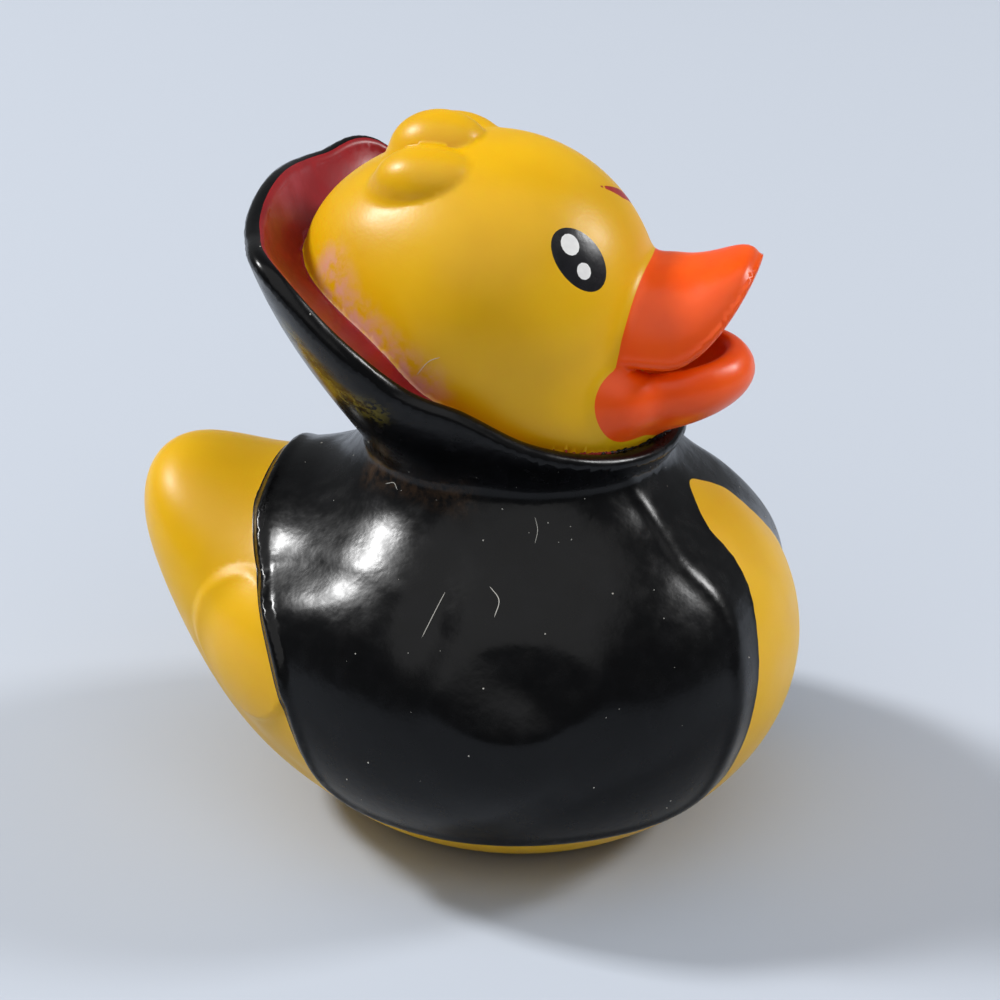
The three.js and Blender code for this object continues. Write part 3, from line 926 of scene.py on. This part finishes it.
LINT = [
    ("lint_long", [(-3.1, -24.8, 36.6), (-3.9, -26.5, 34.9), (-4.8, -28.3, 32.7)], 0.09),
    ("lint_hook", [(1.7, -24.2, 37.3), (2.9, -25.2, 36.3), (2.7, -26.6, 34.9)], 0.10),
    ("lint_upright", [(5.3, -18, 43.0), (5.7, -18.6, 41.8), (5.6, -19.6, 40.6)], 0.07),
    ("lint_curl", [(-12.3, -13.8, 43.3), (-11.4, -14.6, 43.9), (-10.5, -15.0, 43.2)], 0.08),
    ("lint_on_head", [(-7.4, -18.1, 58.2), (-6.1, -18.4, 59.9), (-4.8, -18.6, 60.6)], 0.06),
]
for name, path, thickness in LINT:
    tube, faces = thread(on_skin(spline(path, 8), thickness * 0.6), thickness)
    fibre = plain_mesh(name, tube, np.array(faces, dtype=object))
    fibre.data.polygons.foreach_set("use_smooth", [True] * len(fibre.data.polygons))
    fibre.data.materials.append(dust)
    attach(fibre, "root")
print("lint:", len(LINT), "threads")


# %% [markdown]
# The photograph is taken with a long lens from a little above, from the duck's right. The floor
# and the backdrop are one pale sheet. Two windows light the duck, one behind it and one before
# it, and the room's own light fills the rest.

# %% Floor, light and camera
AIM_AT = (0, 0, 20.7)
AIM_OFF_CENTRE = (20, 122)
VIEW_AZIMUTH = math.radians(12)
VIEW_ELEVATION = math.radians(25)
PIXEL_MM = 0.115
FOCAL_PIXELS = 3000
IMAGE_PIXELS = 1000


def stage_sheet(name, size, hex_colour):
    mesh = bpy.data.meshes.new(name)
    corners = [(-size, -size, 0), (size, -size, 0), (size, size, 0), (-size, size, 0)]
    mesh.from_pydata(corners, [], [(0, 1, 2, 3)])
    sheet = bpy.data.objects.new(name, mesh)
    bpy.context.scene.collection.objects.link(sheet)
    material, tree, output, place = new_material("painted_board_pale")
    shader = add_node(tree, "ShaderNodeBsdfPrincipled", Base_Color=linear(hex_colour), Roughness=0.8)
    tree.links.new(shader.outputs[0], output.inputs["Surface"])
    mesh.materials.append(material)
    return sheet


def facing(azimuth, elevation):
    a, e = azimuth, elevation
    back = Vector((math.sin(a) * math.cos(e), -math.cos(a) * math.cos(e), math.sin(e)))
    right = Vector((math.cos(a), math.sin(a), 0))
    return right, back.cross(right), back


def window(name, azimuth, elevation, distance, width, height, watts):
    light = bpy.data.lights.new(name, "AREA")
    light.shape = "RECTANGLE"
    light.size = width
    light.size_y = height
    light.energy = watts
    lamp = bpy.data.objects.new(name, light)
    right, up, back = facing(math.radians(azimuth), math.radians(elevation))
    lamp.matrix_world = Matrix((right, up, back)).transposed().to_4x4()
    lamp.location = Vector((0, 0, 0.035)) + back * distance
    bpy.context.scene.collection.objects.link(lamp)
    return lamp


stage_sheet("floor", 4, "#B9C0CB")
window("window_behind", -95, 44, 1.6, 0.24, 0.24, 20)
window("window_before", 112, 32, 1.6, 0.32, 0.32, 12)
window("room_above", 10, 66, 1.8, 2.6, 2.6, 20)
world = bpy.data.worlds.new("room")
bpy.context.scene.world = world
world.use_nodes = True
world.node_tree.nodes["Background"].inputs["Color"].default_value = linear("#E4E8EC")
world.node_tree.nodes["Background"].inputs["Strength"].default_value = 0.22

right, up, back = facing(VIEW_AZIMUTH, VIEW_ELEVATION)
aim = (Vector(AIM_AT) + Vector((SHIFT_X, 0, 0))) * MM
aim = aim - right * AIM_OFF_CENTRE[0] * PIXEL_MM * MM + up * AIM_OFF_CENTRE[1] * PIXEL_MM * MM
camera_data = bpy.data.cameras.new("camera")
camera_data.sensor_width = 36
camera_data.lens = camera_data.sensor_width * FOCAL_PIXELS / IMAGE_PIXELS
camera_data.clip_start = 0.01
camera = bpy.data.objects.new("camera", camera_data)
camera.matrix_world = Matrix((right, up, back)).transposed().to_4x4()
camera.location = aim + back * FOCAL_PIXELS * PIXEL_MM * MM
bpy.context.scene.collection.objects.link(camera)
bpy.context.scene.camera = camera
bpy.context.scene.view_settings.view_transform = "Standard"
print("camera at", [round(c / MM) for c in camera.location], "mm, lens", camera_data.lens)
